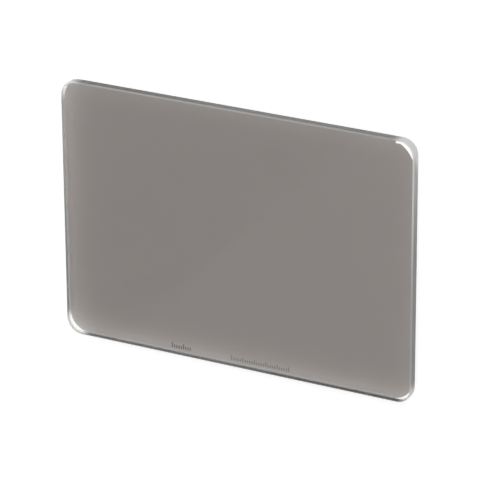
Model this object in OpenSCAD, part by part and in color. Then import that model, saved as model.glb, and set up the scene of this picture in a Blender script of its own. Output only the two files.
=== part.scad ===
// Rectangular neutral density filter for a matte box tray.
// It is one pane of optical glass with rounded corners, and a narrow chamfer is ground
// round both of its faces. The pane lies on its back face: +X runs along the long edges,
// +Y along the short edges and +Z out of the front face. The origin is the centre of the
// back face.

/* [Pane] */
// Length of the long edges, 5.65 inches
pane_length = 143.5; // [80:0.5:200]
// Length of the short edges, 4 inches
pane_width = 101.6; // [60:0.1:160]
// Thickness of the glass
pane_thickness = 4; // [2:0.1:6]

/* [Corners and chamfers] */
// Radius of the four corners, seen from the front
corner_radius = 6; // [2:0.5:20]
// Width of the 45 degree chamfer round the front face
front_chamfer = 0.5; // [0.2:0.05:0.9]
// Width of the 45 degree chamfer round the back face
back_chamfer = 0.5; // [0.2:0.05:0.9]

/* [Hidden] */
$fn = 96;

// Distance from the pane's centre to the centres of its corner arcs
arc_centre_x = pane_length / 2 - corner_radius;
arc_centre_y = pane_width / 2 - corner_radius;

// Grey of the coated glass in front of white
coated_grey = [0.53, 0.51, 0.5];

// Section of the rim, from the line of the arc centres out to the ground wall
module rim_section() {
    polygon([
        [0, 0],
        [corner_radius - back_chamfer, 0],
        [corner_radius, back_chamfer],
        [corner_radius, pane_thickness - front_chamfer],
        [corner_radius - front_chamfer, pane_thickness],
        [0, pane_thickness],
    ]);
}

// Straight side of the rim, with its wall facing +X
module straight_side(run) {
    rotate([90, 0, 0])
        linear_extrude(run, center = true)
            rim_section();
}

// Rounded corner of the rim: the section carried through a quarter turn
module rounded_corner() {
    rotate_extrude(angle = 90)
        rim_section();
}

// One side of the rim and the corner at its end. out is the distance from the pane's
// centre to the line of the arc centres, and run is the length of the straight side.
module rim_quarter(out, run) {
    translate([out, 0, 0]) {
        straight_side(run);
        translate([0, run / 2, 0])
            rounded_corner();
    }
}

// Flat middle of the pane, up to the lines of the arc centres
module flat_middle() {
    translate([-arc_centre_x, -arc_centre_y, 0])
        cube([2 * arc_centre_x, 2 * arc_centre_y, pane_thickness]);
}

// The pane: the flat middle, with the rim carried round it in four quarters
module glass_pane() {
    color(coated_grey)
        union() {
            flat_middle();
            for (half_turn = [0, 180]) {
                rotate([0, 0, half_turn])
                    rim_quarter(arc_centre_x, 2 * arc_centre_y);
                rotate([0, 0, half_turn + 90])
                    rim_quarter(arc_centre_y, 2 * arc_centre_x);
            }
        }
}

glass_pane();
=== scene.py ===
import math

import bpy
import numpy as np
from mathutils import Matrix, Vector


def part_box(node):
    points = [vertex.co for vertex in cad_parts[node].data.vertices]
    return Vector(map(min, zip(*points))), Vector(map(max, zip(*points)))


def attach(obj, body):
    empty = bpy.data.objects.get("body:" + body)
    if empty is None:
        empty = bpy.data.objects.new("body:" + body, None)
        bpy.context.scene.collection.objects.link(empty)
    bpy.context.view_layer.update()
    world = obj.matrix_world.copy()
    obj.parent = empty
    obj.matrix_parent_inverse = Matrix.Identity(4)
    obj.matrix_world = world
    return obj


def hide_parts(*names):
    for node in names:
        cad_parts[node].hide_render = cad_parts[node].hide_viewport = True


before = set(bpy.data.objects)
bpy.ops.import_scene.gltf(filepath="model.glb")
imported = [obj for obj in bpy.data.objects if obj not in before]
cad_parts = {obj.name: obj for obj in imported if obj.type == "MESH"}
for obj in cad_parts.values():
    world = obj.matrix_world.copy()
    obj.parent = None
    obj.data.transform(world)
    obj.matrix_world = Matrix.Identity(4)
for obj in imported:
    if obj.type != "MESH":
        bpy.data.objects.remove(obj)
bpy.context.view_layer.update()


# The filter is one pane of clear optical glass with polished faces. Its walls and chamfers are
# ground fine and its corners are rounded. The back has a neutral grey metal coat, laid on in a
# vacuum while clips held the pane by its corners, so that a window stays clear in each corner.
PANE_LOW, PANE_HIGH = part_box("glass_pane")
HALF_SIZE = np.array([PANE_HIGH.x - PANE_LOW.x, PANE_HIGH.y - PANE_LOW.y]) / 2
THICKNESS = PANE_HIGH.z - PANE_LOW.z
CORNER_RADIUS = 0.006
CHAMFER = 0.0005
EDGE_ROUND = 0.00006
EDGE_STEPS = 3
ARC_STEPS = 24
RUN_STEPS = 8

# The clear windows' radii, at the corners counterclockwise from the far right one. That one's
# window ends square on the far side, CLIP_END from the corner and CLIP_DEPTH deep.
WINDOW_RADII = (0.0124, 0.0057, 0.0076, 0.0075)
CLIP_END = 0.0080
CLIP_DEPTH = 0.00235
COAT_GAP = 0.00001


def rim_profile():
    """The cross-section of the rim, from the back face to the front face, as arrays of inset
    from the outline, height and lean. Each meeting of two flats is an arc: point = centre +
    EDGE_ROUND * (cos lean, sin lean), and the lean, which is also the normal's, goes on by an
    eighth of a turn. The centre lies EDGE_ROUND / cos(22.5 degrees) in from the sharp edge."""
    eighth = np.pi / 4
    edges = np.array([
        [-CHAMFER, 0],
        [0, CHAMFER],
        [0, THICKNESS - CHAMFER],
        [-CHAMFER, THICKNESS]])
    start = -np.pi / 2 + eighth * np.arange(len(edges))
    middle = start + eighth / 2
    outward = np.stack([np.cos(middle), np.sin(middle)], 1)
    centre = edges - EDGE_ROUND / math.cos(eighth / 2) * outward
    lean = start[:, None] + np.linspace(0, eighth, EDGE_STEPS + 1)
    inset = -(centre[:, :1] + EDGE_ROUND * np.cos(lean))
    height = centre[:, 1:] + EDGE_ROUND * np.sin(lean)
    return inset.ravel(), height.ravel(), lean.ravel()


def corner_run(corner, window_radius, ends, clip_depth):
    """The outline's stretch by one corner, counterclockwise: straight from the first end of the
    clear window, a quarter turn about the corner's centre, and straight to its other end.
    A point of the outline is base + (CORNER_RADIUS - inset) * normal. The coat's border lies
    on the window's arc, point = window centre + radius * direction of the outline's point, or
    on a straight line clip_depth in from the second side, and one flush point before and after
    the window brings it back to the chamfer."""
    turn = corner * np.pi / 2
    first = np.array([math.cos(turn), math.sin(turn)]).round()
    second = np.array([-first[1], first[0]])
    sign = first + second
    stretch_in, stretch_out = (end - CORNER_RADIUS for end in ends)
    straight_in = np.linspace(stretch_in, 0, RUN_STEPS + 1)[:-1]
    straight_in = np.concatenate([[stretch_in + COAT_GAP], straight_in])
    straight_out = np.linspace(0, stretch_out, RUN_STEPS + 1)[1:]
    straight_out = np.concatenate([straight_out, [stretch_out + COAT_GAP]])
    arc = np.linspace(0, np.pi / 2, ARC_STEPS + 1)
    before = np.concatenate([straight_in, 0 * arc, 0 * straight_out])
    after = np.concatenate([0 * straight_in, 0 * arc, straight_out])
    angle = np.concatenate([0 * straight_in, arc, 0 * straight_out + np.pi / 2])
    normal = np.cos(angle)[:, None] * first + np.sin(angle)[:, None] * second
    arc_centre = (HALF_SIZE - CORNER_RADIUS) * sign
    base = arc_centre - before[:, None] * second - after[:, None] * first
    chamfer_edge = base + (CORNER_RADIUS - CHAMFER) * normal
    window_centre = (HALF_SIZE - CHAMFER - window_radius) * sign
    ray = chamfer_edge - window_centre
    ray /= np.linalg.norm(ray, axis=1)[:, None]
    coat = window_centre + (window_radius - COAT_GAP) * ray
    beyond_clip = coat @ second - (HALF_SIZE @ abs(second) - clip_depth)
    coat -= np.maximum(beyond_clip, 0)[:, None] * second
    coat[[0, -1]] = (chamfer_edge - COAT_GAP * normal)[[0, -1]]
    clear = np.ones(len(base), bool)
    clear[[0, -2, -1]] = False
    return base, normal, coat, clear


window_ends = [[radius + CHAMFER] * 2 for radius in WINDOW_RADII]
window_ends[0][1] = CLIP_END
clip_depths = [CLIP_DEPTH, 0, 0, 0]
runs = [corner_run(*window) for window in zip(range(4), WINDOW_RADII, window_ends, clip_depths)]
base, normal, coat_border, clear = (np.concatenate(part) for part in zip(*runs))
POLISHED, COATED, FRONT_CHAMFER, WALL, BACK_CHAMFER = range(5)


def carried_rim(name):
    """The pane's skin: the rim's profile carried along the outline, as a grid of quads with the
    outline as one parameter and the profile as the other, a flat band on the back between the
    coat's border and the chamfer, the coat as one flat face, and the front face as another.
    The normal is cos(lean) * outward + sin(lean) * up."""
    inset, height, lean = rim_profile()
    count, rows = len(base), len(inset) + 1
    rim = np.empty((rows, count, 3))
    rim[0, :, :2] = coat_border
    rim[0, :, 2] = 0
    rim[1:, :, :2] = base + (CORNER_RADIUS - inset)[:, None, None] * normal
    rim[1:, :, 2] = height[:, None]
    normals = np.zeros((rows, count, 3))
    normals[0, :, 2] = -1
    normals[1:, :, :2] = np.cos(lean)[:, None, None] * normal
    normals[1:, :, 2] = np.sin(lean)[:, None]
    here = np.arange(count)
    after = np.roll(here, -1)
    low = np.arange(rows - 1)[:, None] * count
    quads = np.stack([low + here, low + after, low + count + after, low + count + here], 2)
    coat_face = here[::-1].tolist()
    front_face = ((rows - 1) * count + here).tolist()
    faces = quads.reshape(-1, 4).tolist() + [coat_face, front_face]
    turn_bands, flat_bands = EDGE_STEPS, 1
    chamfer_bands = turn_bands + flat_bands
    wall_bands = 2 * turn_bands + flat_bands
    slots = np.concatenate([
        [np.where(clear, POLISHED, COATED)],
        np.full((chamfer_bands, count), BACK_CHAMFER),
        np.full((wall_bands, count), WALL),
        np.full((chamfer_bands, count), FRONT_CHAMFER)])
    mesh = bpy.data.meshes.new(name)
    mesh.from_pydata(rim.reshape(-1, 3).tolist(), [], faces)
    mesh.polygons.foreach_set("material_index", slots.ravel().tolist() + [COATED, POLISHED])
    mesh.polygons.foreach_set("use_smooth", [True] * len(faces))
    mesh.update()
    mesh.normals_split_custom_set_from_vertices(normals.reshape(-1, 3).tolist())
    piece = bpy.data.objects.new(name, mesh)
    bpy.context.scene.collection.objects.link(piece)
    return piece


class Socket:
    """A shader socket that takes part in sums: an expression on sockets adds Math nodes."""

    def __init__(self, graph, output):
        self.graph = graph
        self.output = output

    def __add__(self, other):
        return self.graph.math("ADD", self, other)

    def __sub__(self, other):
        return self.graph.math("SUBTRACT", self, other)

    def __rsub__(self, other):
        return self.graph.math("SUBTRACT", other, self)

    def __mul__(self, other):
        return self.graph.math("MULTIPLY", self, other)

    def __abs__(self):
        return self.graph.math("ABSOLUTE", self)

    __radd__ = __add__
    __rmul__ = __mul__

    def fade(self, low, high):
        """0 below low, 1 above high, and a smooth step between."""
        settings = {"interpolation_type": "SMOOTHSTEP"}
        return self.graph.node("ShaderNodeMapRange", settings, {0: self, 1: low, 2: high})


class Graph:
    """The node tree of a material or of the world."""

    def __init__(self, owner):
        owner.use_nodes = True
        self.tree = owner.node_tree
        self.tree.nodes.clear()

    def node(self, kind, settings={}, sockets={}, out=0):
        """Adds a node: its settings first, then the values or links of its sockets. A tuple of
        three numbers is a colour."""
        made = self.tree.nodes.new(kind)
        for key, value in settings.items():
            setattr(made, key, value)
        for key, value in sockets.items():
            if isinstance(value, Socket):
                self.tree.links.new(value.output, made.inputs[key])
            elif isinstance(value, tuple):
                made.inputs[key].default_value = (*value, 1.0)
            else:
                made.inputs[key].default_value = value
        return Socket(self, made.outputs[out]) if made.outputs else made

    def math(self, operation, *values, clamp=False):
        settings = {"operation": operation, "use_clamp": clamp}
        return self.node("ShaderNodeMath", settings, dict(enumerate(values)))

    def blend(self, share, first, second):
        """A colour between two colours: first where share is 0, second where it is 1."""
        sockets = {0: share, 6: first, 7: second}
        return self.node("ShaderNodeMix", {"data_type": "RGBA"}, sockets, out=2)

    def here(self):
        """Object coordinates as a vector."""
        return self.node("ShaderNodeTexCoord", out="Object")

    def place(self):
        """The object coordinates along the long edges and along the short ones."""
        here = self.here()
        return [self.node("ShaderNodeSeparateXYZ", {}, {0: here}, out=axis) for axis in "XY"]

    def noise(self, vector, scale, detail):
        sockets = {"Vector": vector, "Scale": scale, "Detail": detail}
        return self.node("ShaderNodeTexNoise", {}, sockets)


GLASS_IOR = 1.52
WHITE = (1.0, 1.0, 1.0)
BLACK = (0.0, 0.0, 0.0)


def grey(value):
    return (value, value, value)


def glass_finish(name, sockets, pattern):
    """A finish of the glass. pattern works out the sockets that change over the surface."""
    material = bpy.data.materials.new(name)
    g = Graph(material)
    values = {"IOR": GLASS_IOR, **sockets, **pattern(g)}
    shader = g.node("ShaderNodeBsdfPrincipled", {}, values)
    g.node("ShaderNodeOutputMaterial", {}, {"Surface": shader})
    return material


STREAK_SCALE = 700.0
STREAK_DETAIL = 3.0
STREAK_DRAWN = Vector((0.3, 1.0, 1.0))
STREAK_START = 0.55
STREAK_FULL = 0.9
STREAK_ROUGHNESS = 0.02


def polish(g):
    """Clear glass with faint wiping streaks, drawn out along the pane: the roughness is
    STREAK_ROUGHNESS where the stretched noise is high."""
    factors = {0: g.here(), 1: STREAK_DRAWN}
    drawn = g.node("ShaderNodeVectorMath", {"operation": "MULTIPLY"}, factors)
    streaks = g.noise(drawn, STREAK_SCALE, STREAK_DETAIL).fade(STREAK_START, STREAK_FULL)
    return {"Base Color": WHITE, "Roughness": streaks * STREAK_ROUGHNESS}


COAT_GREY = (0.385, 0.353, 0.333)
COAT_PAINTED_PALE = (0.890, 0.825, 0.784)
COAT_DARK = (0.165, 0.157, 0.152)
CLOUD_SCALE = 90.0
CLOUD_DETAIL = 2.0
CLOUD_SHADE = 0.03

# Strength and reach of the painted light, a paler grey, along each border, and of the painted
# highlight, a white line, at the near one
BORDER_PAINTED_LIGHT = {"left": (0.62, 0.0030), "right": (0.18, 0.0026),
               "near": (1.04, 0.0030), "far": (0.34, 0.0026)}
PAINTED_HIGHLIGHT_STRENGTH = 1.2
PAINTED_HIGHLIGHT_REACH = 0.0006

# Start, number of ticks, height and share of the dark colour of each row of ticks
TICK_ROWS = ((-0.0275, 9, 0.0022, 0.9), (-0.0025, 26, 0.0020, 0.6))
TICK_FOOT = -0.0491
TICK_PITCH = 0.00095
TICK_HALF = 0.00022
TICK_BLUR = 0.0001
TICK_LONG = 5
TICK_SHORT_SHARE = 0.6


def tick_share(g):
    """Two short rows of plain ticks near the near border, each tick TICK_PITCH from the next:
    a tick is where the distance to the nearest multiple of the pitch is below TICK_HALF, and
    every fifth tick has the row's full height."""
    x, y = g.place()
    shares = []
    for start, count, height, share in TICK_ROWS:
        along = x - start
        to_tick = g.math("PINGPONG", along, TICK_PITCH / 2)
        tick = 1 - to_tick.fade(TICK_HALF, TICK_HALF + TICK_BLUR)
        to_long = g.math("PINGPONG", along, TICK_LONG * TICK_PITCH / 2)
        long = 1 - to_long.fade(TICK_HALF, TICK_HALF + TICK_BLUR)
        top = (long * (1 - TICK_SHORT_SHARE) + TICK_SHORT_SHARE) * height + TICK_FOOT
        row_middle = (count - 1) * TICK_PITCH / 2
        row = g.math("COMPARE", along, row_middle, row_middle + TICK_PITCH / 4)
        upright = y.fade(TICK_FOOT, TICK_FOOT + TICK_BLUR) * (top - y).fade(0.0, TICK_BLUR)
        shares.append(tick * row * upright * share)
    return sum(shares)


def coat_finish(g):
    """The coat's grey has faint clouds and painted light towards the borders, a paler grey: its
    share of the pale grey is the sum over the four sides of strength * exp(-distance / reach). A
    thin white line of painted highlight fades in the same way from the near border, and the
    ticks lie over it all."""
    x, y = g.place()
    half_x, half_y = HALF_SIZE.tolist()
    away = {"left": x + half_x, "right": half_x - x, "near": y + half_y, "far": half_y - y}
    # painted light: the coat is painted paler towards each border
    painted_border_light = sum(strength * g.math("EXPONENT", away[side] * (-1 / reach))
               for side, (strength, reach) in BORDER_PAINTED_LIGHT.items())
    # painted highlight: a thin white line fading from the near border
    line = g.math("EXPONENT", away["near"] * (-1 / PAINTED_HIGHLIGHT_REACH)) * PAINTED_HIGHLIGHT_STRENGTH
    clouds = g.noise(g.here(), CLOUD_SCALE, CLOUD_DETAIL) * CLOUD_SHADE
    plain = g.blend(clouds, g.blend(line, g.blend(painted_border_light, COAT_GREY, COAT_PAINTED_PALE), WHITE), BLACK)
    return {"Base Color": g.blend(tick_share(g), plain, COAT_DARK)}


GRAIN_SCALE = 9000.0
GRAIN_DETAIL = 2.0
GRAIN_SHADE = 0.12
GRAIN_DEPTH = 0.00002
GRAIN_BUMP = 0.3
PAINTED_TINT_START = 0.0045
PAINTED_TINT_FULL = 0.0095
PAINTED_TINT_NEAR = 0.0032
RIGHTWARD_TURN = 0.02
FLANK_START = 0.001
FLANK_FULL = 0.003

# Where each side's tint changes, along the side, and its tints before and after that, or the
# one tint of a side that doesn't change. These tints are painted light and shade, different on
# each side
NEAR_CHANGE = (-0.005, 0.025)
FAR_CHANGE = (-0.045, 0.0)
LEFT_CHANGE = (-0.020, 0.030)
RIGHT_CHANGE = (0.004, 0.044)
RIGHT_FRONT_CHANGE = (-0.020, 0.036)
# painted shade on the near wall, painted light towards the far ends of the other sides
WALL_NEAR = grey(0.040), grey(0.006)
WALL_FAR = grey(0.36), grey(0.50)
WALL_LEFT = grey(0.28), grey(0.53)
WALL_RIGHT = grey(0.56), WHITE
WALL_BARE = WHITE, grey(0.92)
FRONT_NEAR = grey(0.65), grey(0.50)
FRONT_FAR = grey(0.50)
FRONT_LEFT = grey(0.39)
FRONT_RIGHT = (0.56, 0.55, 0.545), grey(0.90)
BACK_NEAR = grey(0.06), grey(0.03)
BACK_NEAR_INNER = grey(0.34)
BACK_INNER_START = 0.0002
BACK_LEFT = (0.29, 0.28, 0.275)
BACK_OTHER = (0.38, 0.37, 0.36)


def ground(g, color):
    """Finely ground glass: the tint, a little darker in the grains' hollows, and their bumps."""
    grains = g.noise(g.here(), GRAIN_SCALE, GRAIN_DETAIL)
    bump = {"Strength": GRAIN_BUMP, "Distance": GRAIN_DEPTH, "Height": grains}
    return {"Base Color": g.blend(grains * GRAIN_SHADE, color, BLACK),
            "Normal": g.node("ShaderNodeBump", {}, bump)}


def painted_tint_share(g):
    """The share of the rim's painted light and shade, which is left out near the corners, where
    the
    clips were: 0 within PAINTED_TINT_START of a corner, and 1 from PAINTED_TINT_FULL on. On the
    near side it comes closer to the right corner by PAINTED_TINT_NEAR."""
    x, y = g.place()
    half_x, half_y = HALF_SIZE.tolist()
    from_corner = half_x + half_y - abs(x) - abs(y)
    near = 1 - y.fade(FLANK_START - half_y, FLANK_FULL - half_y)
    near_right = x.fade(-RIGHTWARD_TURN, RIGHTWARD_TURN) * near
    return (from_corner + near_right * PAINTED_TINT_NEAR).fade(PAINTED_TINT_START, PAINTED_TINT_FULL)


def rim_finish(g, bare, left, right, near, far):
    """Bare ground glass at the corners, and each side's own tint of painted light and shade
    along the side.
    """
    x, y = g.place()
    half_x, half_y = HALF_SIZE.tolist()
    ends = g.blend(y.fade(FLANK_START - half_y, FLANK_FULL - half_y), near, far)
    flanks = g.blend(x.fade(-FLANK_START, FLANK_START), left, right)
    on_flank = abs(x).fade(half_x - FLANK_FULL, half_x - FLANK_START)
    return ground(g, g.blend(painted_tint_share(g), bare, g.blend(on_flank, ends, flanks)))


def wall_finish(g):
    """The wall's tints are painted light and shade: painted paler towards the far end of both
    flanks and towards the right on the far side, and painted darkest, as shade, on the right
    half of the near side."""
    x, y = g.place()
    left = g.blend(y.fade(*LEFT_CHANGE), *WALL_LEFT)
    right = g.blend(y.fade(*RIGHT_CHANGE), *WALL_RIGHT)
    near = g.blend(x.fade(*NEAR_CHANGE), *WALL_NEAR)
    far = g.blend(x.fade(*FAR_CHANGE), *WALL_FAR)
    bare = g.blend(x.fade(-RIGHTWARD_TURN, RIGHTWARD_TURN), *WALL_BARE)
    return rim_finish(g, bare, left, right, near, far)


def front_chamfer_finish(g):
    """The front chamfer's tints are painted light and shade as well, and it is painted pale on
    the near side too.
    """
    x, y = g.place()
    right = g.blend(y.fade(*RIGHT_FRONT_CHANGE), *FRONT_RIGHT)
    near = g.blend(x.fade(*NEAR_CHANGE), *FRONT_NEAR)
    return rim_finish(g, WHITE, FRONT_LEFT, right, near, FRONT_FAR)


def back_chamfer_finish(g):
    """The back chamfer's tints are painted light and shade: painted nearly as dark as the wall
    on the near side, as shade, but painted paler at its inner edge, which lies CHAMFER in from
    the outline."""
    x, y = g.place()
    half_y = HALF_SIZE[1]
    outer_tint = g.blend(x.fade(*NEAR_CHANGE), *BACK_NEAR)
    inner_edge = y.fade(BACK_INNER_START - half_y, CHAMFER - half_y)
    near = g.blend(inner_edge, outer_tint, BACK_NEAR_INNER)
    return rim_finish(g, WHITE, BACK_LEFT, BACK_OTHER, near, BACK_OTHER)


GROUND_ROUGHNESS = 0.9
CLEAR = {"Transmission Weight": 1.0}
POLISH = {**CLEAR, "Specular Tint": BLACK}
COAT = {**CLEAR, "Metallic": 0.85, "Roughness": 0.6}
GROUND_FRONT = {"Roughness": GROUND_ROUGHNESS}
GROUND_WALL = {"Roughness": GROUND_ROUGHNESS, "Transmission Weight": 0.8}
GROUND_BACK = {**CLEAR, "Roughness": GROUND_ROUGHNESS}

pane = carried_rim("filter_pane")
for glass in (
        glass_finish("polished_glass", POLISH, polish),
        glass_finish("grey_coat", COAT, coat_finish),
        glass_finish("front_chamfer", GROUND_FRONT, front_chamfer_finish),
        glass_finish("ground_wall", GROUND_WALL, wall_finish),
        glass_finish("back_chamfer", GROUND_BACK, back_chamfer_finish)):
    pane.data.materials.append(glass)
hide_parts("glass_pane")
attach(pane, "root")


# The floor is a plain white table, which reaches to the horizon. The camera sees it white with
# the pane's shadow on it, and for every other ray it is plain white, so that it shows through
# the glass and lights the walls from below.
FLOOR_GAP = 0.00005
FLOOR_HALF = 20.0
FLOOR_WHITE = 0.74
FLOOR_SHADED = 0.56


def flat_plane(name, half, height):
    """A square in the plane z = height, with its middle on the z axis."""
    corners = [(-half, -half, height), (half, -half, height),
               (half, half, height), (-half, half, height)]
    mesh = bpy.data.meshes.new(name)
    mesh.from_pydata(corners, [], [(0, 1, 2, 3)])
    plane = bpy.data.objects.new(name, mesh)
    bpy.context.scene.collection.objects.link(plane)
    return plane


floor = flat_plane("floor", FLOOR_HALF, -FLOOR_GAP)
floor_material = bpy.data.materials.new("floor_white")
floor.data.materials.append(floor_material)
g = Graph(floor_material)
camera_ray = g.node("ShaderNodeLightPath", out="Is Camera Ray")
diffuse = g.node("ShaderNodeBsdfDiffuse", {}, {"Color": grey(FLOOR_SHADED)})
white = g.node("ShaderNodeEmission", {}, {"Strength": camera_ray * FLOOR_WHITE})
shadowed = g.node("ShaderNodeAddShader", {}, {0: white, 1: diffuse})
plain = g.node("ShaderNodeEmission", {}, {"Strength": 1.0})
both = g.node("ShaderNodeMixShader", {}, {0: 1 - camera_ray, 1: shadowed, 2: plain})
g.node("ShaderNodeOutputMaterial", {}, {"Surface": both})


# A white studio: the world is white where the camera sees it, in mirrors and through the glass,
# and softer as a lamp. One large soft box stands behind the pane, so that the near edge has the
# shadow.
WORLD_LIGHT = 0.48
LAMP_SIZE = 0.25
LAMP_POWER = 0.6
LAMP_PLACE = Vector((-0.12, 0.42, 0.40))

world = bpy.data.worlds.new("studio")
bpy.context.scene.world = world
g = Graph(world)
camera_ray, glossy_ray, through_ray = (
    g.node("ShaderNodeLightPath", out=f"Is {kind} Ray")
    for kind in ("Camera", "Glossy", "Transmission"))
seen = g.math("ADD", camera_ray + glossy_ray, through_ray, clamp=True)
strength = seen * (1 - WORLD_LIGHT) + WORLD_LIGHT
sky = g.node("ShaderNodeBackground", {}, {"Color": WHITE, "Strength": strength})
g.node("ShaderNodeOutputWorld", {}, {"Surface": sky})

lamp_data = bpy.data.lights.new("soft_box", "AREA")
lamp_data.size = LAMP_SIZE
lamp_data.energy = LAMP_POWER
lamp = bpy.data.objects.new("soft_box", lamp_data)
lamp.location = LAMP_PLACE
lamp.rotation_mode = "QUATERNION"
lamp.rotation_quaternion = LAMP_PLACE.to_track_quat("Z", "Y")
bpy.context.scene.collection.objects.link(lamp)


# The camera stands at the photograph's angle to the pane's front face. The angles are measured
# from the face's own normal, as if the pane stood upright.
ASIDE = math.radians(27.82)
ABOVE = math.radians(22.74)
ROLL = math.radians(0.369)
DISTANCE = 1.24928
AIM_RIGHT = 0.001355
AIM_UP = -0.000336
IMAGE_SIDE = 480
FOCAL_PIXELS = 3425.0
SENSOR = 36.0
NEAREST_SEEN = 0.01
FARTHEST_SEEN = 100.0

level = Vector((math.cos(ASIDE), 0, -math.sin(ASIDE)))
turned = Vector((math.sin(ASIDE), 0, math.cos(ASIDE)))
back = math.cos(ABOVE) * turned + math.sin(ABOVE) * Vector((0, 1, 0))
upright = back.cross(level)
right = math.cos(ROLL) * level - math.sin(ROLL) * upright
up = math.sin(ROLL) * level + math.cos(ROLL) * upright
camera_data = bpy.data.cameras.new("camera")
camera_data.sensor_width = SENSOR
camera_data.lens = FOCAL_PIXELS / IMAGE_SIDE * SENSOR
camera_data.clip_start = NEAREST_SEEN
camera_data.clip_end = FARTHEST_SEEN
camera = bpy.data.objects.new("camera", camera_data)
middle = Vector((0, 0, THICKNESS / 2))
place = middle + AIM_RIGHT * right + AIM_UP * up + DISTANCE * back
turn = Matrix((right, up, back)).transposed().to_4x4()
camera.matrix_world = Matrix.Translation(place) @ turn
bpy.context.scene.collection.objects.link(camera)
bpy.context.scene.camera = camera
bpy.context.scene.view_settings.view_transform = "Standard"
